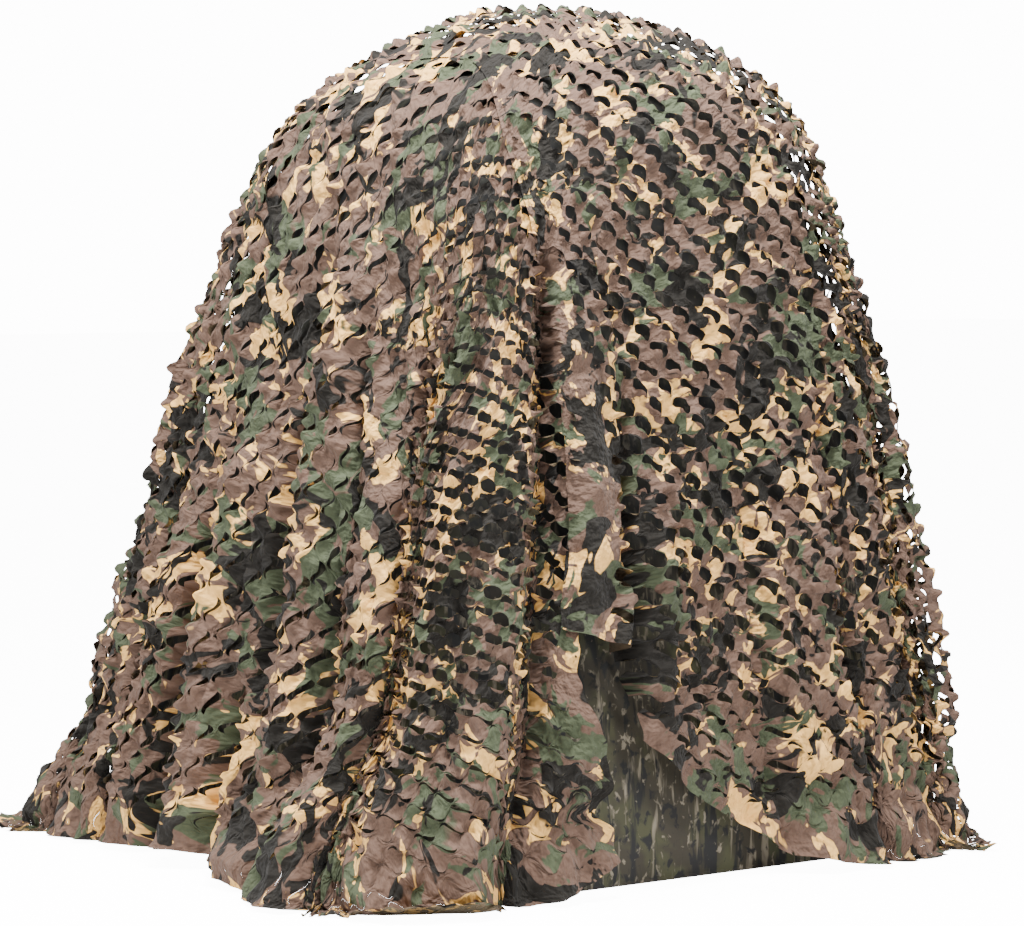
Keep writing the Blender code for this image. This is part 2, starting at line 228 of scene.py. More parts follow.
# the dome leans to +X and -Y, so its other two sides give the middle of the foot
footX = blindLow[0] + cloth["footHalf"]
footY = blindHigh[1] - cloth["footHalf"]


def leanAt(height):
    heights, leanX, leanY = zip(*leanTable)
    return np.stack((smooth(height, heights, leanX), smooth(height, heights, leanY),
                     np.zeros_like(height)), axis=-1)


def sharedOut(place, spare):
    # from a place on a square ring of flat cloth to one round the sides;
    # the corners take up the spare
    side = 2 * np.round(place / 2)
    return side + shareAcross(place - side, spare)


def shareAcross(a, spare):
    power = cloth["takeUpPower"]
    return a * spare / (1 + (spare ** power - 1) * np.abs(a) ** power) ** (1 / power)


def squareAt(place):
    # the other way: from a place round the sides to a square's rim
    place = (place + 3) % 8 - 3
    u = np.where(place < -1, -1.0, np.where(place <= 1, place, np.where(place < 3, 1.0, 4 - place)))
    v = np.where(place < -1, -2 - place,
                 np.where(place <= 1, -1.0, np.where(place < 3, place - 2, 1.0)))
    return u, v


def beforeShare(a, spare):
    power = cloth["takeUpPower"]
    return a / (spare ** power - (spare ** power - 1) * np.abs(a) ** power) ** (1 / power)


def flatPlace(place, spare):
    side = 2 * np.round(place / 2)
    return side + beforeShare(place - side, spare)


def onRing(place, power):
    u, v = squareAt(place)
    norm = (np.abs(u) ** power + np.abs(v) ** power) ** (1 / power)
    return u / norm, v / norm


# places go round from -3 to 5, so the first and last tucks are repeated beyond them
tuckPlaces = np.concatenate((np.array(tucks[-2:]) - 8, tucks, np.array(tucks[:2]) + 8))


def panelBeside(index, spare, reach, half, power):
    # a panel between two tucks: its places, its flat places, how often its cloth fills its room
    low, high = tuckPlaces[index], tuckPlaces[index + 1]
    flatLow, flatHigh = flatPlace(low, spare), flatPlace(high, spare)
    (x0, y0), (x1, y1) = onRing(low, power), onRing(high, power)
    room = np.hypot(x1 - x0, y1 - y0) * half
    (x0, y0), (x1, y1) = onRing(flatLow, cloth["ringPower"]), onRing(flatHigh, cloth["ringPower"])
    length = np.hypot(x1 - x0, y1 - y0) * reach
    over = np.maximum(tuck["fullness"] * length / room, 1.0)
    return low, high, flatLow, flatHigh, over, (1 - 1 / over) * length / 2


def tucked(place, spare, reach, half, power):
    # moves a place to where the cloth shows between its tucks, and says how deep in one it is
    place = (place + 3) % 8 - 3
    begun = ease((reach - tuck["from"]) / tuck["over"])
    stray = (tuck["wander"] * begun
             * np.sin(2.1 * reach + 2.7 * place) * np.sin(5.3 * reach - 1.9 * place))
    index = np.clip(np.searchsorted(tuckPlaces, place) - 1, 1, len(tuckPlaces) - 3)
    low, high, flatLow, flatHigh, over, spareLength = panelBeside(index, spare, reach, half, power)
    aside = np.where((low < -1) & (high > -1), tuck["aside"], 0) * begun
    over = 1 + (np.maximum(over * (1 - 1.6 * aside ** 2), 1) - 1) * begun
    away = 2 * (flatPlace(place, spare) - flatLow) / (flatHigh - flatLow) - 1
    away = (away - aside) / (1 - aside * away)
    sharp = tuck["sharpness"]
    shown = over * away / (1 + (over ** sharp - 1) * np.abs(away) ** sharp) ** (1 / sharp)
    hidden = np.clip((np.abs(away) - np.abs(shown) / over) / np.maximum(1 - 1 / over, 1e-3), 0, 1)
    other = panelBeside(np.where(away < 0, index - 1, index + 1), spare, reach, half, power)[5]
    deep = np.minimum(tuck["deep"], 0.35 * (spareLength + other)) * begun
    shownPlace = (low + high) / 2 + (high - low) / 2 * shown
    return place * (1 - begun) + shownPlace * begun + stray, deep * ease(1.3 * hidden)


def meanSurface(x, y):
    ring = cloth["ringPower"]
    reach = np.maximum((np.abs(x) ** ring + np.abs(y) ** ring) ** (1 / ring), 1e-6)
    half = smooth(reach, sectionReach, sectionHalf)
    height = smooth(reach, sectionReach, sectionHeight)
    power = smooth(reach, sectionReach, sectionPower)
    spare = np.maximum(reach / np.maximum(half, 1e-6), 1)
    place = sharedOut(placeRound(np.stack((x, y), axis=-1)), spare)
    place, inTuck = tucked(place, spare, reach, half, power)
    across, along = onRing(place, power)
    out = np.stack((np.sign(across) * np.abs(across) ** (power - 1),
                    np.sign(along) * np.abs(along) ** (power - 1)), axis=-1)
    out /= np.maximum(np.linalg.norm(out, axis=-1, keepdims=True), 1e-9)
    return np.stack((half * across, half * along, height), axis=-1), out, reach, half, inTuck


def placeRound(point):
    # front -1 to 1 from left to right, left side -3 to -1, right side 1 to 3, back 3 to 5
    x, y = point[..., 0], point[..., 1]
    big = np.maximum(np.maximum(np.abs(x), np.abs(y)), 1e-6)
    u, v = x / big, y / big
    return np.where(v <= -1, u, np.where(v >= 1, 4 - u, np.where(u <= -1, -2 - v, 2 + v)))


def foldDepth(x, y, point, reach, half, inTuck):
    place = placeRound(point)
    depth = np.zeros_like(reach)
    for where, deep, width, low, high in mainFolds:
        away = np.abs(place - where)
        away = np.minimum(away, 8 - away) * half
        tall = ease((point[..., 2] - low) / 0.16 + 0.6) * ease((high - point[..., 2]) / 0.25)
        depth -= deep * np.exp(-(away / width) ** (4 if deep > 0.06 else 2)) * tall
    # the tucks, and the panels puffed out between them
    begun = ease((reach - tuck["from"]) / tuck["over"])
    left = np.clip(np.searchsorted(tuckPlaces, place) - 1, 0, len(tuckPlaces) - 2)
    low, high = tuckPlaces[left], tuckPlaces[left + 1]
    panel = np.sin(np.pi * np.clip((place - low) / (high - low), 0, 1))
    depth += begun * tuck["puff"] * panel - inTuck
    shows = 1 - 0.7 * inTuck / tuck["deep"]
    turn = np.arctan2(y, x)
    nudge = 0.001
    beside = meanSurface(x - np.sin(turn) * nudge, y + np.cos(turn) * nudge)[0]
    kept = np.clip(np.linalg.norm(beside - point, axis=-1) / nudge, gathers["tightest"], 1)
    wave = 2 * half / gathers["round"] * np.sqrt(1 / kept - 1)
    size = (np.minimum(wave * gathers["share"], gathers["limit"])
            * ease((reach - gathers["start"]) / gathers["easeOver"]))
    phase = gathers["round"] * turn + 0.9 * np.sin(3 * turn + 0.7) + 0.6 * np.sin(5 * turn + 2.1)
    depth += shows * size * np.sin(phase) * (0.7 + 0.3 * np.sin(3 * reach + 2 * turn))
    # narrow pleats, which take up what the wide gathers leave
    flatWave = 2 * math.pi * np.hypot(x, y) / net["pleatsRound"]
    need = np.sqrt(np.maximum((0.80 / kept) ** 2 - 1, 0)) / 4 * flatWave * kept
    pleat = np.minimum(need, net["pleatLimit"]) * ease((reach - 0.75) / 0.5)
    phase = net["pleatsRound"] * turn + 2.6 * unevenness(x, y, 0.55, 5)
    depth += pleat * (0.2 + np.sin(phase) * (0.85 + 0.3 * unevenness(x, y, 0.3, 6)))
    # and the cloth's own unevenness
    down = ease((reach - 0.25) / 0.5)
    depth += down * (0.009 * unevenness(x, y, 0.15, 7) + 0.010 * unevenness(x, y, 0.045, 8)
                     + 0.005 * unevenness(x, y, 0.022, 10))
    byFloor = ease((reach - cloth["floorReach"] + 0.40) / 0.30)
    depth += gathers["crumple"] * byFloor * (unevenness(x, y, 0.055, 17)
                                             + 0.6 * unevenness(x, y, 0.028, 18))
    return np.maximum(depth, -gathers["deepest"])


def byTheFoot(x, y):
    low = np.exp(-((y + cloth["footDriftAt"]) / cloth["footDriftLength"]) ** 2)
    return low * ease(1 - np.abs(x - cloth["joinX"]) / cloth["footDriftReach"])


def drape(x, y):
    fades = np.where(y < 0, cloth["driftLength"], 2.5 * cloth["driftLength"])
    overRoof = 1 - ease((np.abs(y) - cloth["driftFrom"]) / fades)
    x = x + cloth["roofDrift"] * overRoof * ease(1 - np.abs(x - cloth["joinX"]) / cloth["driftReach"])
    x = x + cloth["footDrift"] * byTheFoot(x, y)
    point, out, reach, half, inTuck = meanSurface(x, y)
    nudge = 0.001
    onWall = np.minimum(reach, cloth["floorReach"] - 0.25)
    fall = (smooth(onWall + nudge, sectionReach, sectionHeight)
            - smooth(onWall, sectionReach, sectionHeight)) / nudge
    lean = np.clip(-fall, 0, 1)
    normal = np.stack((out[..., 0] * lean, out[..., 1] * lean, np.sqrt(1 - lean ** 2)), axis=-1)
    depth = foldDepth(x, y, point, reach, half, inTuck)
    point = point + normal * depth[..., None]
    onFloor = ease((reach - cloth["floorReach"]) / 0.12)
    point[..., 2] += gathers["floorCrumple"] * np.abs(depth) * onFloor
    for toX, toY, spread, start, reachX, reachY in pulls:
        angle = np.arctan2(point[..., 1], point[..., 0]) - math.atan2(toY, toX)
        angle = (angle + np.pi) % (2 * np.pi) - np.pi
        pull = np.exp(-(angle / spread) ** 2) * ease((reach - start) / (cloth["floorReach"] - start))
        point = point + pull[..., None] * np.array((reachX, reachY, 0))
    point[..., 2] = np.maximum(point[..., 2], 0)
    turned = ease((reach - cloth["floorReach"] + 0.10) / 0.16)[..., None]
    normal = normal * (1 - turned) + np.array((0.0, 0.0, 1.0)) * turned
    normal /= np.linalg.norm(normal, axis=-1, keepdims=True)
    return point + leanAt(point[..., 2]), normal


def rightLift(x, y):
    loose = ease((-y - cloth["looseFrom"]) / 0.25) * ease((cloth["looseToX"] - x) / 0.16)
    reach = np.maximum(np.abs(x), np.abs(y))
    down = (ease((reach - cloth["floorReach"] + 0.40) / 0.30)
            * ease((x - cloth["joinX"] - cloth["lap"]) / 0.20))
    return (cloth["thick"] + cloth["lapGap"]) * (1 - down) + cloth["standOff"] * loose


opening = {
    "along": 0.42,           # how far slits open where the cloth hangs along them
    "across": 0.50,          # and how much further where it hangs across them
    "onRoof": 0.45,
    "patches": 0.26,         # uneven from patch to patch
    "smallPatches": 0.14,
    "least": 0.08,
    "most": 1.05,
    "slackLeft": 0.66,       # how much less they open low on the left of the parting
    "slackRight": 0.45,      # and on its right
    "byFloor": 0.58,
    "hangingFree": 0.70,     # how little of that counts where the left side's hem is raised
    "farLeft": 0.55,
    "atCorners": 0.30,
    "rightCorner": 0.15,     # how much further they open at the right corner
}


def openness(x, y):
    # 0 where the slits stay shut, 1 where the cloth's weight pulls them fully open
    hangs = ease((np.abs(y) - np.abs(x)) / 0.5 + 0.5)     # pulled across the slits, or along them
    wide = opening["along"] + opening["across"] * hangs
    onRoof = 1 - ease((np.maximum(np.abs(x), np.abs(y)) - 0.25) / 0.3)
    wide = wide * (1 - onRoof) + opening["onRoof"] * onRoof
    slackLeft = ease((-y - 1.50) / 0.25) * ease((-0.30 - x) / 0.15)
    slackRight = ease((-y - 1.60) / 0.30) * ease((1.2 - x) / 0.3) * (1 - slackLeft)
    wide = wide * (1 - opening["slackLeft"] * slackLeft) * (1 - opening["slackRight"] * slackRight)
    wide += opening["patches"] * unevenness(x, y, 0.35, 11)
    wide += opening["smallPatches"] * unevenness(x, y, 0.12, 12)
    wide = np.clip(wide, opening["least"], opening["most"])
    power = cloth["ringPower"]
    reach = (np.abs(x) ** power + np.abs(y) ** power) ** (1 / power)
    leftSide = ease((-1.3 - x) / 0.4) * ease((y + 0.45) / 0.25)
    lower = ease((reach - cloth["floorReach"] + 0.36) / 0.20) * (1 - opening["hangingFree"] * leftSide)
    wide = wide * (1 - opening["byFloor"] * lower)
    wide = wide * (1 - ease((reach - cloth["floorReach"] + 0.16) / 0.10))
    farLeft = ease((-0.80 - x) / 0.50) * ease((y - 0.10) / 0.50)
    slanted = np.minimum(np.abs(x), np.abs(y)) / np.maximum(np.maximum(np.abs(x), np.abs(y)), 1e-6)
    isOpened = (x < 0) & (y < x)
    atCorner = ease((slanted - np.where(isOpened, 0.72, 0.62)) / 0.20) * ease((reach - 0.9) / 0.4)
    rightCorner = ease((x - 0.9) / 0.4) * ease((-y - 0.2) / 0.4) * ease((reach - 1.0) / 0.3)
    closed = opening["atCorners"] * atCorner * (1 - rightCorner)
    wide = wide * (1 - opening["farLeft"] * farLeft) * (1 - closed)
    return wide + opening["rightCorner"] * rightCorner


def edgeDistance(x, y, width):
    # how far a point of the flat cloth is from the hems and selvages of its width
    half = cloth["netLength"] / 2
    away = np.minimum(half - y, half + y)
    hemAt, sideAt = frontHemOf(width, x), sideHemOf(width, y)
    away = np.minimum(away, hemAt + y)
    low, high = width["from"], width["to"]
    away = np.minimum(away, np.minimum(x - low, high - x))
    power = cloth["ringPower"]
    reach = (np.abs(x) ** power + np.abs(y) ** power) ** (1 / power)
    away = np.minimum(away, net["cornerReach"] - reach)
    return np.minimum(away, x + sideAt) if width["name"] == "left" else away


def isPlain(x, y, width):
    # where a slit with this middle isn't cut
    low, high = width["from"], width["to"]
    atJoin = ease((-0.75 - y) / 0.45) if width["name"] == "right" else 0
    return ((edgeDistance(x, y, width) < net["border"])
            | (x - low < net["selvage"] + (net["joinSelvage"] - net["selvage"]) * atJoin)
            | (high - x < net["selvage"]))


def frontHemOf(width, x):
    return np.interp(x, *zip(*width["frontHem"]))


def sideHemOf(width, y):
    return np.interp(y, *zip(*width["sideHem"])) if width["sideHem"] else np.full_like(y, 9.0)


widths = {
    "left": {"name": "left", "from": -2.12, "to": -0.42, "tiles": 26, "rows": 140,
             "frontHem": leftFrontHem, "sideHem": leftSideHem},
    "right": {"name": "right", "from": -0.515, "to": 2.12, "tiles": 36, "rows": 116,
              "frontHem": rightFrontHem, "sideHem": None},
}


def slitTile(pitch, rowStep):
    # a piece of flat cloth with one whole slit and, half a pitch on, one across its sides
    columns, steps = net["columnsPerSlit"], net["stepsPerRow"]
    bm = bmesh.new()
    bmesh.ops.create_grid(bm, x_segments=columns, y_segments=2 * steps, size=0.5)
    bmesh.ops.translate(bm, verts=bm.verts, vec=(0.5, 0.5, 0))
    bmesh.ops.scale(bm, verts=bm.verts, vec=(pitch, 2 * rowStep, 1))
    cut = []
    for edge in bm.edges:
        middle = (edge.verts[0].co + edge.verts[1].co) / 2
        level = all(abs(vert.co.y - middle.y) < 1e-6 for vert in edge.verts)
        place = middle.x / pitch
        bridge = 1 / columns
        inRow = abs(middle.y - rowStep / 2) < 1e-6 and bridge < place < 1 - bridge
        inNext = abs(middle.y - rowStep * 1.5) < 1e-6 and abs(place - 0.5) > bridge
        if level and (inRow or inNext):
            cut.append(edge)
    bmesh.ops.split_edges(bm, edges=cut)
    for vert in bm.verts:
        onBoundary = any(edge.is_boundary for edge in vert.link_edges)
        for level in (rowStep / 2, rowStep * 1.5):
            if onBoundary and abs(vert.co.y - level) < 1e-6:
                faceY = sum(face.calc_center_median().y for face in vert.link_faces)
                faceY /= len(vert.link_faces)
                if abs(faceY - level) > 1e-5:     # a slit's end has cloth on both sides
                    vert.co.y += math.copysign(5e-5, faceY - level)
    mesh = bpy.data.meshes.new("slitTile")
    bm.to_mesh(mesh)
    bm.free()
    return mesh


def arrayedCloth(name, mesh, across, along, pitch, rowStep):
    piece = bpy.data.objects.new(name, mesh)
    bpy.context.scene.collection.objects.link(piece)
    for count, offset in ((across, (pitch, 0, 0)), (along, (0, 2 * rowStep, 0))):
        array = piece.modifiers.new("repeat", "ARRAY")
        array.count = count
        array.use_relative_offset = False
        array.use_constant_offset = True
        array.constant_offset_displace = offset
        array.use_merge_vertices = True
        array.merge_threshold = 1e-5
    made = bpy.data.meshes.new_from_object(piece.evaluated_get(bpy.context.evaluated_depsgraph_get()))
    piece.modifiers.clear()
    piece.data = made
    made.name = name
    bpy.data.meshes.remove(mesh)
    return piece


def roundedCorners(width):
    # the net's two outer corners on this width's side, as points along the rounded cut
    power, reach = cloth["ringPower"], net["cornerReach"]
    side = -1 if width["name"] == "left" else 1
    xs = np.linspace((reach ** power - (cloth["netLength"] / 2) ** power) ** (1 / power),
                     cloth["floorReach"], 9)
    ys = (reach ** power - xs ** power) ** (1 / power)
    return [[(side * x, way * y) for x, y in zip(xs, ys)] for way in (-1, 1)]


def putInOrder(bm):
    # by place, so that each run gives the same mesh
    for items, place in ((bm.verts, lambda vert: vert.co[:]),
                         (bm.faces, lambda face: face.calc_center_median()[:])):
        rank = {item: number for number, item in enumerate(sorted(items, key=place))}
        items.sort(key=rank.get)


def trimToHems(bm, width):
    # cuts the flat cloth along each stretch of its hems
    def cutAlong(start, end, keepSide, alongX):
        low, high = sorted((start, end), key=lambda p: p[0 if alongX else 1])
        axis = 0 if alongX else 1
        near = [face for face in bm.faces
                if low[axis] - 0.004 <= face.calc_center_median()[axis] <= high[axis] + 0.004]
        verts = dict.fromkeys(vert for face in near for vert in face.verts)
        edges = dict.fromkeys(edge for face in near for edge in face.edges)
        geom = list(verts) + list(edges) + near
        direction = Vector((high[0] - low[0], high[1] - low[1], 0)).normalized()
        outward = Vector((direction.y, -direction.x, 0))
        if outward.dot(Vector(keepSide)) > 0:
            outward.negate()
        bmesh.ops.bisect_plane(bm, geom=geom, dist=1e-6, plane_co=(low[0], low[1], 0),
                               plane_no=outward, clear_outer=True)

    table = width["frontHem"]
    for (x0, d0), (x1, d1) in zip(table[:-1], table[1:]):
        cutAlong((x0, -d0), (x1, -d1), (0, 1, 0), True)
    for corner in roundedCorners(width):
        for start, end in zip(corner[:-1], corner[1:]):
            cutAlong(start, end, (-start[0], -start[1], 0), True)
    if width["sideHem"]:
        table = width["sideHem"]
        for (y0, d0), (y1, d1) in zip(table[:-1], table[1:]):
            cutAlong((-d0, y0), (-d1, y1), (1, 0, 0), False)


def measuredArea(mesh):
    areas = np.empty(len(mesh.polygons))
    mesh.polygons.foreach_get("area", areas)
    return float(areas.sum())


def netPiece(name, width, fromTile, toTile, back, finish):
    pitch = (width["to"] - width["from"]) / width["tiles"]
    rowStep = cloth["netLength"] / width["rows"]
    halfRows = width["rows"] // 4
    piece = arrayedCloth(name, slitTile(pitch, rowStep), toTile - fromTile, halfRows, pitch, rowStep)
    startX = width["from"] + fromTile * pitch
    startY = 0.0 if back else -cloth["netLength"] / 2
    bm = bmesh.new()
    bm.from_mesh(piece.data)
    bmesh.ops.translate(bm, verts=bm.verts, vec=(startX, startY, 0))
    trimToHems(bm, width)
    # slits in the plain borders are closed again
    inBorder = []
    for vert in bm.verts:
        offset = (vert.co.y + cloth["netLength"] / 2 - rowStep / 2) / rowStep
        gap = (offset - round(offset)) * rowStep
        if 0 < abs(gap) < 1e-4:
            row = round(offset)
            centre = slitCentre(vert.co.x, row, width["from"], pitch)
            if isPlain(np.array(centre), np.array(vert.co.y - gap), width):
                vert.co.y -= gap
                inBorder.append(vert)
    bmesh.ops.remove_doubles(bm, verts=inBorder, dist=1e-5)
    putInOrder(bm)
    bm.to_mesh(piece.data)
    flatArea = sum(face.calc_area() for face in bm.faces)
    bm.free()

    mesh = piece.data
    co = np.empty(len(mesh.vertices) * 3)
    mesh.vertices.foreach_get("co", co)
    x, y = co[0::3], co[1::3]
    loops = np.empty(len(mesh.loops), dtype=int)
    mesh.loops.foreach_get("vertex_index", loops)
    uv = mesh.uv_layers.new(name="flatCloth") if not mesh.uv_layers else mesh.uv_layers[0]
    uv.data.foreach_set("uv", np.stack((x[loops], y[loops]), axis=-1).ravel())

    # each vertex's slit, and where it is in it
    offset = (y + cloth["netLength"] / 2 - rowStep / 2) / rowStep
    row = np.round(offset).astype(int)
    away = (offset - row) * 2                       # -1 to 1 from mid row to mid row
    centre = slitCentre(x, row, width["from"], pitch)
    rowY = (row + 0.5) * rowStep - cloth["netLength"] / 2
    halfSlit = (0.5 - 1 / net["columnsPerSlit"]) * pitch
    along = (x - centre) / halfSlit                 # -1 to 1 from end to end of the slit
    inRange = np.abs(along) < 1
    plain = isPlain(centre, rowY, width)
    slit = np.random.default_rng(21 if width["name"] == "left" else 22)
    chance = slit.random((400, 80, 4))
    column = np.round((centre - width["from"]) / pitch * 2).astype(int) % 80
    luck = chance[row % 400, column]
    wide = openness(centre, rowY) * (0.62 + 0.72 * luck[:, 0])
    wide = np.where(plain, 0, np.clip(wide, 0, 1.15))
    near = 1 - np.abs(away)
    side = np.sign(np.where(np.abs(away) < 1e-7, 0, away))
    bulge = np.sqrt(np.maximum(1 - along ** 2, 0)) * net["holeHeight"] / 2 * wide
    bend = net["slitBend"] * (1 - 0.45 * np.clip(wide, 0, 1)) * (0.7 + 0.6 * luck[:, 1])
    bend = np.where(plain, 0, bend)
    moveY = side * bulge * near - bend * np.sin(2 * np.pi * (x - centre) / pitch) * near
    pinch = net["holePinch"] * np.clip(wide, 0, 1) * near * ease((1.20 - np.abs(along)) / 0.20)
    moveX = -(x - centre) * pinch
    # tongues: the upper lip's hangs right of the slit's middle, the lower lip's stands left
    tilt = np.where(side > 0, np.exp(-((along - 0.36) / 0.52) ** 2),
                    np.exp(-((along + 0.36) / 0.52) ** 2)) * np.maximum(1 - along ** 4, 0)
    slack = 0.75 + 0.25 * np.clip(wide * 1.4, 0, 1)
    amount = np.where(side > 0, 1.5 * luck[:, 2] - 0.45, 0.25 + 1.1 * luck[:, 3])
    lift = net["tongueLift"] * tilt * slack * amount * near * (1.6 - 0.6 * near)
    # by the floor they lie flat
    flatReach = (x ** 4 + y ** 4) ** 0.25
    lift *= 1 - ease((flatReach - cloth["floorReach"] + 0.14) / 0.10)
    lift = np.where(plain | ~inRange | (side == 0), 0, lift)

    wander = net["wander"]
    flatX = x + moveX + wander * (unevenness(x, y, 0.34, 13) + 0.4 * unevenness(x, y, 0.10, 14))
    flatY = y + moveY + wander * (unevenness(x, y, 0.34, 15) + 0.4 * unevenness(x, y, 0.10, 16))
    if width["name"] == "left":
        flatX = flatX + cloth["selvageDrift"] * byTheFoot(x, y)
        # the selvage is folded back in one place by the floor
        notch = np.exp(-((y + 1.955) / 0.030) ** 2) * ease(1 - np.abs(x - cloth["joinX"]) / 0.16)
        flatX = flatX - 0.06 * notch
    here, outward = drape(flatX, flatY)
    nudge = 0.002
    alongX = drape(flatX + nudge, flatY)[0] - here
    alongY = drape(flatX, flatY + nudge)[0] - here
    normal = np.cross(alongX, alongY)
    normal /= np.maximum(np.linalg.norm(normal, axis=-1, keepdims=True), 1e-12)
    base = cloth["thick"] + (rightLift(x, y) if width["name"] == "right" else 0)
    here = here + outward * np.broadcast_to(base, x.shape)[:, None] + normal * lift[:, None]
    here[:, 2] = np.maximum(here[:, 2], 0.0012)
    here[:, 0] += footX
    here[:, 1] += footY
    mesh.vertices.foreach_set("co", here.ravel())
    # painted light per vertex: positive on the lower lips for a painted highlight, negative behind the
    # upper lips for painted shade
    lip = mesh.attributes.new("slitLipLightShade", "FLOAT", "POINT")
    strong = np.where(plain, 0, np.clip(wide * 1.6, 0, 1)) * np.maximum(1 - along ** 4, 0)
    lip.data.foreach_set("value", -side * strong * np.clip((near - 0.55) / 0.45, 0, 1))
    mesh.shade_smooth()
    mesh.materials.clear()
    mesh.materials.append(finish)
    mesh.update()
    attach(piece, "root")
    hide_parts("net_left_width" if width["name"] == "left" else "net_right_width")
    surface = measuredArea(mesh)
    print(name, len(mesh.polygons), "faces, lies over", round(surface * net["pullOut"] / flatArea, 3),
          "of its cut area", round(flatArea / net["pullOut"], 3))
    return piece


def slitCentre(x, row, start, pitch):
    # slits of every other row start half a pitch on
    stagger = np.where(np.asarray(row) % 2 == 0, 0.5, 0.0)
    return start + (np.round((x - start) / pitch - stagger) + stagger) * pitch


def nodeMaterial(name):
    made = bpy.data.materials.new(name)
    made.use_nodes = True
    return made, made.node_tree.nodes, made.node_tree.links, made.node_tree.nodes["Principled BSDF"]


def printGroup():
    # woodland print: three patch colours over a ground, on flat-cloth metres
    group = bpy.data.node_groups.new("woodlandPrint", "ShaderNodeTree")
    face = group.interface
    face.new_socket("Vector", in_out="INPUT", socket_type="NodeSocketVector")
    for name in ("Ground", "Sand", "Leaf", "Bark"):
        face.new_socket(name, in_out="INPUT", socket_type="NodeSocketColor")
    face.new_socket("Size", in_out="INPUT", socket_type="NodeSocketFloat")
    face.new_socket("Color", in_out="OUTPUT", socket_type="NodeSocketColor")
    nodes, links = group.nodes, group.links
    into, outOf = nodes.new("NodeGroupInput"), nodes.new("NodeGroupOutput")
    colour = into.outputs["Ground"]
    # colour, shift, lowest noise value that is printed, stretch along X
    layers = (("Sand", 3.1, 0.552, 1.05), ("Leaf", 17.7, 0.556, 0.9), ("Bark", 41.3, 0.556, 0.9))
    for name, shift, limit, stretch in layers:
        mapping = nodes.new("ShaderNodeMapping")
        mapping.inputs["Location"].default_value = (shift, shift * 0.7, shift * 0.3)
        mapping.inputs["Rotation"].default_value = (0, 0, 0.35 * shift)
        mapping.inputs["Scale"].default_value = (stretch, 1.0, 1.0)
        links.new(into.outputs["Vector"], mapping.inputs["Vector"])
        noise = nodes.new("ShaderNodeTexNoise")
        noise.inputs["Detail"].default_value = 3.0
        noise.inputs["Roughness"].default_value = 0.62
        noise.inputs["Distortion"].default_value = 0.9
        links.new(mapping.outputs["Vector"], noise.inputs["Vector"])
        links.new(into.outputs["Size"], noise.inputs["Scale"])
        ramp = nodes.new("ShaderNodeMapRange")
        ramp.inputs["From Min"].default_value = limit - 0.006
        ramp.inputs["From Max"].default_value = limit + 0.006
        links.new(noise.outputs["Fac"], ramp.inputs["Value"])
        mix = nodes.new("ShaderNodeMix")
        mix.data_type = "RGBA"
        links.new(ramp.outputs["Result"], mix.inputs["Factor"])
        links.new(colour, mix.inputs["A"])
        links.new(into.outputs[name], mix.inputs["B"])
        colour = mix.outputs["Result"]
    links.new(colour, outOf.inputs["Color"])
    return group


def weaveGroup():
    # plain weave: crossed threads, with a little slub
    group = bpy.data.node_groups.new("plainWeave", "ShaderNodeTree")
    face = group.interface
    face.new_socket("Vector", in_out="INPUT", socket_type="NodeSocketVector")
    face.new_socket("Threads", in_out="INPUT", socket_type="NodeSocketFloat")
    face.new_socket("Height", in_out="OUTPUT", socket_type="NodeSocketFloat")
    face.new_socket("Slub", in_out="OUTPUT", socket_type="NodeSocketFloat")
    nodes, links = group.nodes, group.links
    into, outOf = nodes.new("NodeGroupInput"), nodes.new("NodeGroupOutput")
    waves = []
    for direction in ("X", "Y"):
        wave = nodes.new("ShaderNodeTexWave")
        wave.bands_direction = direction
        wave.inputs["Distortion"].default_value = 0.4
        links.new(into.outputs["Vector"], wave.inputs["Vector"])
        links.new(into.outputs["Threads"], wave.inputs["Scale"])
        waves.append(wave)
    top = nodes.new("ShaderNodeMath")
    top.operation = "MAXIMUM"
    links.new(waves[0].outputs["Fac"], top.inputs[0])
    links.new(waves[1].outputs["Fac"], top.inputs[1])
    slub = nodes.new("ShaderNodeTexNoise")
    slub.inputs["Scale"].default_value = 90.0
    slub.inputs["Detail"].default_value = 4.0
    links.new(into.outputs["Vector"], slub.inputs["Vector"])
    both = nodes.new("ShaderNodeMath")
    both.operation = "MULTIPLY"
    links.new(top.outputs["Value"], both.inputs[0])
    links.new(slub.outputs["Fac"], both.inputs[1])
    links.new(both.outputs["Value"], outOf.inputs["Height"])
    links.new(slub.outputs["Fac"], outOf.inputs["Slub"])
    return group


netLook = {
    "ground": (0.121, 0.074, 0.054, 1),
    "sand": (0.800, 0.460, 0.140, 1),
    "leaf": (0.062, 0.074, 0.042, 1),
    "bark": (0.0150, 0.0132, 0.0110, 1),
    "underside": (0.13, 0.095, 0.05, 1),
    "patchScale": 8.5,
    "roughness": 0.90,
    "sheen": 0.04,
    # how strong the lips' painted highlight and painted shade are
    "lipLightShadeContrast": 0.45,
}


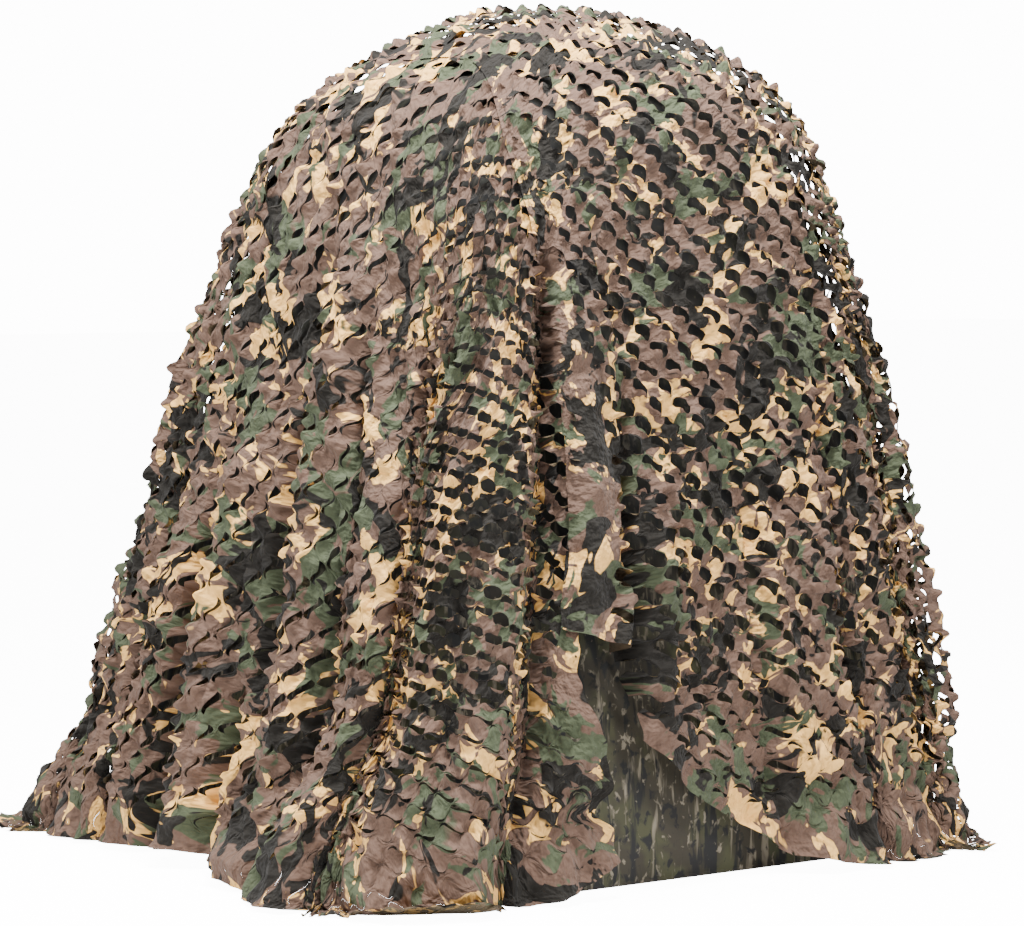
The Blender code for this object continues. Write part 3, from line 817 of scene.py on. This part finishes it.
def netMaterial(printNodes, weaveNodes):
    made, nodes, links, shader = nodeMaterial("netCloth")
    uv = nodes.new("ShaderNodeUVMap")
    uv.uv_map = "flatCloth"
    pattern = nodes.new("ShaderNodeGroup")
    pattern.node_tree = printNodes
    links.new(uv.outputs["UV"], pattern.inputs["Vector"])
    for name, key in (("Ground", "ground"), ("Sand", "sand"), ("Leaf", "leaf"), ("Bark", "bark")):
        pattern.inputs[name].default_value = netLook[key]
    pattern.inputs["Size"].default_value = netLook["patchScale"]
    weave = nodes.new("ShaderNodeGroup")
    weave.node_tree = weaveNodes
    links.new(uv.outputs["UV"], weave.inputs["Vector"])
    weave.inputs["Threads"].default_value = 220.0
    # the print fades a little with the weave's slub
    fade = nodes.new("ShaderNodeHueSaturation")
    links.new(pattern.outputs["Color"], fade.inputs["Color"])
    strength = nodes.new("ShaderNodeMapRange")
    strength.inputs["To Min"].default_value = 0.72
    strength.inputs["To Max"].default_value = 1.28
    links.new(weave.outputs["Slub"], strength.inputs["Value"])
    links.new(strength.outputs["Result"], fade.inputs["Value"])
    # painted light on the slits' lips: a painted highlight on the lower lips, and painted shade on the
    # cloth behind the upper lips
    lip = nodes.new("ShaderNodeAttribute")
    lip.attribute_name = "slitLipLightShade"
    lipLightShadeValue = nodes.new("ShaderNodeMapRange")
    lipLightShadeValue.inputs["From Min"].default_value = -1.0
    lipLightShadeValue.inputs["To Min"].default_value = 1.0 - netLook["lipLightShadeContrast"]
    lipLightShadeValue.inputs["To Max"].default_value = 1.0 + netLook["lipLightShadeContrast"] * 1.6
    links.new(lip.outputs["Fac"], lipLightShadeValue.inputs["Value"])
    lipLitShaded = nodes.new("ShaderNodeHueSaturation")
    links.new(fade.outputs["Color"], lipLitShaded.inputs["Color"])
    links.new(lipLightShadeValue.outputs["Result"], lipLitShaded.inputs["Value"])
    # the back of the cloth is printed faintly
    under = nodes.new("ShaderNodeMix")
    under.data_type = "RGBA"
    under.inputs["Factor"].default_value = 0.35
    under.inputs["A"].default_value = netLook["underside"]
    links.new(fade.outputs["Color"], under.inputs["B"])
    geometry = nodes.new("ShaderNodeNewGeometry")
    face = nodes.new("ShaderNodeMix")
    face.data_type = "RGBA"
    links.new(geometry.outputs["Backfacing"], face.inputs["Factor"])
    links.new(lipLitShaded.outputs["Color"], face.inputs["A"])
    links.new(under.outputs["Result"], face.inputs["B"])
    links.new(face.outputs["Result"], shader.inputs["Base Color"])
    crease = nodes.new("ShaderNodeTexNoise")
    crease.inputs["Scale"].default_value = 62.0
    crease.inputs["Detail"].default_value = 1.6
    crease.inputs["Roughness"].default_value = 0.55
    links.new(uv.outputs["UV"], crease.inputs["Vector"])
    rumple = nodes.new("ShaderNodeBump")
    rumple.inputs["Strength"].default_value = 1.0
    rumple.inputs["Distance"].default_value = 0.017
    links.new(crease.outputs["Fac"], rumple.inputs["Height"])
    bump = nodes.new("ShaderNodeBump")
    bump.inputs["Strength"].default_value = 0.35
    bump.inputs["Distance"].default_value = 0.0008
    links.new(weave.outputs["Height"], bump.inputs["Height"])
    links.new(rumple.outputs["Normal"], bump.inputs["Normal"])
    links.new(bump.outputs["Normal"], shader.inputs["Normal"])
    shader.inputs["Roughness"].default_value = netLook["roughness"]
    shader.inputs["Sheen Weight"].default_value = netLook["sheen"]
    shader.inputs["Sheen Roughness"].default_value = 0.6
    shader.inputs["Specular IOR Level"].default_value = 0.15
    return made


blindLook = {
    "ground": (0.030, 0.024, 0.013, 1),
    "light": (0.200, 0.170, 0.120, 1),
    "moss": (0.048, 0.048, 0.019, 1),
    "dark": (0.005, 0.005, 0.005, 1),
    "roughness": 0.7,
}


def blindMaterial(weaveNodes):
    # generic dark print of upright streaks and blotches
    made, nodes, links, shader = nodeMaterial("blindCloth")
    place = nodes.new("ShaderNodeTexCoord")
    colour = None
    # colour key, scale across, scale up, noise scale, lowest value printed, softness
    layers = (("moss", 1.0, 0.7, 9.0, 0.52, 0.05), ("light", 1.0, 0.10, 52.0, 0.62, 0.05),
              ("dark", 1.0, 0.14, 38.0, 0.57, 0.04), ("light", 1.0, 0.7, 60.0, 0.63, 0.04),
              ("dark", 1.0, 0.8, 46.0, 0.60, 0.04))
    for index, (key, across, upward, scale, limit, soft) in enumerate(layers):
        mapping = nodes.new("ShaderNodeMapping")
        mapping.inputs["Location"].default_value = (index * 3.1, index * 1.7, index * 5.3)
        mapping.inputs["Scale"].default_value = (across, across, upward)
        links.new(place.outputs["Object"], mapping.inputs["Vector"])
        noise = nodes.new("ShaderNodeTexNoise")
        noise.inputs["Scale"].default_value = scale
        noise.inputs["Detail"].default_value = 4.0
        noise.inputs["Distortion"].default_value = 0.5
        links.new(mapping.outputs["Vector"], noise.inputs["Vector"])
        ramp = nodes.new("ShaderNodeMapRange")
        ramp.inputs["From Min"].default_value = limit - soft
        ramp.inputs["From Max"].default_value = limit + soft
        links.new(noise.outputs["Fac"], ramp.inputs["Value"])
        mix = nodes.new("ShaderNodeMix")
        mix.data_type = "RGBA"
        links.new(ramp.outputs["Result"], mix.inputs["Factor"])
        if colour is None:
            mix.inputs["A"].default_value = blindLook["ground"]
        else:
            links.new(colour, mix.inputs["A"])
        mix.inputs["B"].default_value = blindLook[key]
        colour = mix.outputs["Result"]
    # painted shade: the blind's colour darkens with height, for the shade under the net
    split = nodes.new("ShaderNodeSeparateXYZ")
    links.new(place.outputs["Object"], split.inputs["Vector"])
    shadeByHeight = nodes.new("ShaderNodeMapRange")
    shadeByHeight.inputs["From Min"].default_value = 0.30
    shadeByHeight.inputs["From Max"].default_value = 0.75
    shadeByHeight.inputs["To Min"].default_value = 1.0
    shadeByHeight.inputs["To Max"].default_value = 0.22
    links.new(split.outputs["Z"], shadeByHeight.inputs["Value"])
    paintedShade = nodes.new("ShaderNodeHueSaturation")
    links.new(colour, paintedShade.inputs["Color"])
    links.new(shadeByHeight.outputs["Result"], paintedShade.inputs["Value"])
    links.new(paintedShade.outputs["Color"], shader.inputs["Base Color"])
    weave = nodes.new("ShaderNodeGroup")
    weave.node_tree = weaveNodes
    links.new(place.outputs["Object"], weave.inputs["Vector"])
    weave.inputs["Threads"].default_value = 260.0
    bump = nodes.new("ShaderNodeBump")
    bump.inputs["Strength"].default_value = 0.3
    bump.inputs["Distance"].default_value = 0.0006
    links.new(weave.outputs["Height"], bump.inputs["Height"])
    links.new(bump.outputs["Normal"], shader.inputs["Normal"])
    shader.inputs["Roughness"].default_value = blindLook["roughness"]
    return made


blind = {
    "sides": 120,
    "rings": 56,
    "crownDrop": 0.012,      # its roof stays this far under the net's solids
}

# height, half width, squareness of the plan
blindSections = (
    (0.000, 0.690, 6.0),
    (0.040, 0.690, 6.0),
    (0.350, 0.660, 5.6),
    (0.610, 0.622, 5.2),
    (0.870, 0.580, 4.6),
    (1.130, 0.540, 4.0),
    (1.390, 0.490, 3.4),
    (1.520, 0.440, 3.0),
    (1.640, 0.335, 2.5),
    (1.700, 0.220, 2.2),
    (1.738, 0.105, 2.0),
    (1.763, 0.010, 2.0),
)


def blindCover(finish):
    # rings of cloth from the base hem to the crown, extruded one from the other
    heights, halves, powers = (np.array(c) for c in zip(*blindSections))
    travel = np.concatenate(([0], np.cumsum(np.hypot(np.diff(heights), np.diff(halves)))))
    turns = (np.arange(blind["sides"]) + 0.5) * 2 * np.pi / blind["sides"]
    c, s = np.cos(turns), np.sin(turns)

    def ringAt(distance):
        height = float(smooth(distance, travel, heights))
        half = float(smooth(distance, travel, halves))
        power = float(smooth(distance, travel, powers))
        size = half / (np.abs(c) ** power + np.abs(s) ** power) ** (1 / power)
        wrinkle = 0.0024 * np.sin(23 * turns + 2 * height) * ease(np.array(height / 0.3))
        size = size - 0.003 + wrinkle * (height < 1.4)
        leanX, leanY, _ = leanAt(np.array(height))
        drop = blind["crownDrop"] * ease(np.array((height - 1.3) / 0.4))
        return [(size[k] * c[k] + leanX + footX, size[k] * s[k] + leanY + footY, height - drop)
                for k in range(blind["sides"])]

    bm = bmesh.new()
    verts = bmesh.ops.create_circle(bm, segments=blind["sides"], radius=1)["verts"]
    edges = bm.edges[:]
    for vert, co in zip(verts, ringAt(0)):
        vert.co = co
    for step in range(1, blind["rings"] + 1):
        old = set(verts)
        made = bmesh.ops.extrude_edge_only(bm, edges=edges)["geom"]
        edges = [item for item in made if isinstance(item, bmesh.types.BMEdge)]
        follow = {}
        for face in (item for item in made if isinstance(item, bmesh.types.BMFace)):
            for edge in face.edges:
                a, b = edge.verts
                if (a in old) != (b in old):
                    follow[a if a in old else b] = b if a in old else a
        verts = [follow[vert] for vert in verts]
        for vert, co in zip(verts, ringAt(travel[-1] * step / blind["rings"])):
            vert.co = co
    bmesh.ops.contextual_create(bm, geom=edges)
    bmesh.ops.recalc_face_normals(bm, faces=bm.faces)
    putInOrder(bm)
    area = sum(face.calc_area() for face in bm.faces)
    mesh = bpy.data.meshes.new("blindCover")
    bm.to_mesh(mesh)
    bm.free()
    mesh.materials.append(finish)
    mesh.shade_smooth()
    piece = bpy.data.objects.new("blindCover", mesh)
    bpy.context.scene.collection.objects.link(piece)
    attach(piece, "root")
    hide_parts("blind_shell")
    print("blind cover made, cloth area", round(area, 3))
    return piece


camera = {
    "azimuth": -36.8,        # degrees round from the door side
    "distance": 7.99,
    "height": 1.27,
    "aimHeight": 0.80,
    "lens": 130.4,
}


def setCamera():
    turn = math.radians(camera["azimuth"])
    made = bpy.data.objects.new("camera", bpy.data.cameras.new("camera"))
    bpy.context.scene.collection.objects.link(made)
    made.location = (footX + camera["distance"] * math.sin(turn),
                     footY - camera["distance"] * math.cos(turn), camera["height"])
    aim = Vector((footX, footY, camera["aimHeight"])) - made.location
    made.rotation_euler = aim.to_track_quat("-Z", "Y").to_euler()
    made.data.sensor_width = 36.0
    made.data.lens = camera["lens"]
    bpy.context.scene.camera = made


studio = {
    "floorColour": (0.93, 0.93, 0.93, 1),
    "floorGlow": 12.5,       # the floor shows as white as the backdrop
    "fill": 0.30,            # soft light from all round
    "backdrop": 14.0,        # and how bright the backdrop itself shows
    # name, azimuth, distance, height, size, power
    "lamps": (("overhead", -30.0, 1.3, 4.4, 1.3, 420.0),
              ("keySide", -5.0, 4.5, 4.0, 1.1, 200.0),
              ("keyLeft", -100.0, 4.2, 4.2, 1.1, 290.0)),
}


def setStudio():
    bm = bmesh.new()
    bmesh.ops.create_grid(bm, x_segments=1, y_segments=1, size=40)
    mesh = bpy.data.meshes.new("floor")
    bm.to_mesh(mesh)
    bm.free()
    floor = bpy.data.objects.new("floor", mesh)
    bpy.context.scene.collection.objects.link(floor)
    made, nodes, links, shader = nodeMaterial("paleFloor")
    shader.inputs["Base Color"].default_value = studio["floorColour"]
    shader.inputs["Roughness"].default_value = 0.9
    shader.inputs["Emission Color"].default_value = (1, 1, 1, 1)
    seen = nodes.new("ShaderNodeLightPath")
    glow = nodes.new("ShaderNodeMath")
    glow.operation = "MULTIPLY"
    glow.inputs[1].default_value = studio["floorGlow"]
    links.new(seen.outputs["Is Camera Ray"], glow.inputs[0])
    links.new(glow.outputs["Value"], shader.inputs["Emission Strength"])
    mesh.materials.append(made)
    world = bpy.data.worlds.new("studio")
    bpy.context.scene.world = world
    world.use_nodes = True
    nodes, links = world.node_tree.nodes, world.node_tree.links
    background = nodes["Background"]
    background.inputs["Color"].default_value = (1, 1, 1, 1)
    seen = nodes.new("ShaderNodeLightPath")
    strength = nodes.new("ShaderNodeMix")
    strength.inputs["A"].default_value = studio["fill"]
    strength.inputs["B"].default_value = studio["backdrop"]
    links.new(seen.outputs["Is Camera Ray"], strength.inputs["Factor"])
    links.new(strength.outputs["Result"], background.inputs["Strength"])
    for name, azimuth, distance, height, size, power in studio["lamps"]:
        turn = math.radians(azimuth)
        lamp = bpy.data.objects.new(name, bpy.data.lights.new(name, "AREA"))
        bpy.context.scene.collection.objects.link(lamp)
        lamp.location = (footX + distance * math.sin(turn), footY - distance * math.cos(turn), height)
        aim = Vector((footX, footY, 0.9)) - lamp.location
        lamp.rotation_euler = aim.to_track_quat("-Z", "Y").to_euler()
        lamp.data.size = size
        lamp.data.energy = power


setCamera()
setStudio()
print("camera and studio set")
printNodes, weaveNodes = printGroup(), weaveGroup()
netFinish, blindFinish = netMaterial(printNodes, weaveNodes), blindMaterial(weaveNodes)
print("materials made")
blindCover(blindFinish)
netPiece("netLeftFront", widths["left"], 0, 26, False, netFinish)
netPiece("netLeftBack", widths["left"], 0, 26, True, netFinish)
netPiece("netFrontMiddle", widths["right"], 0, 18, False, netFinish)
netPiece("netFrontRight", widths["right"], 18, 36, False, netFinish)
netPiece("netBackMiddle", widths["right"], 0, 18, True, netFinish)
netPiece("netBackRight", widths["right"], 18, 36, True, netFinish)
print("net made")
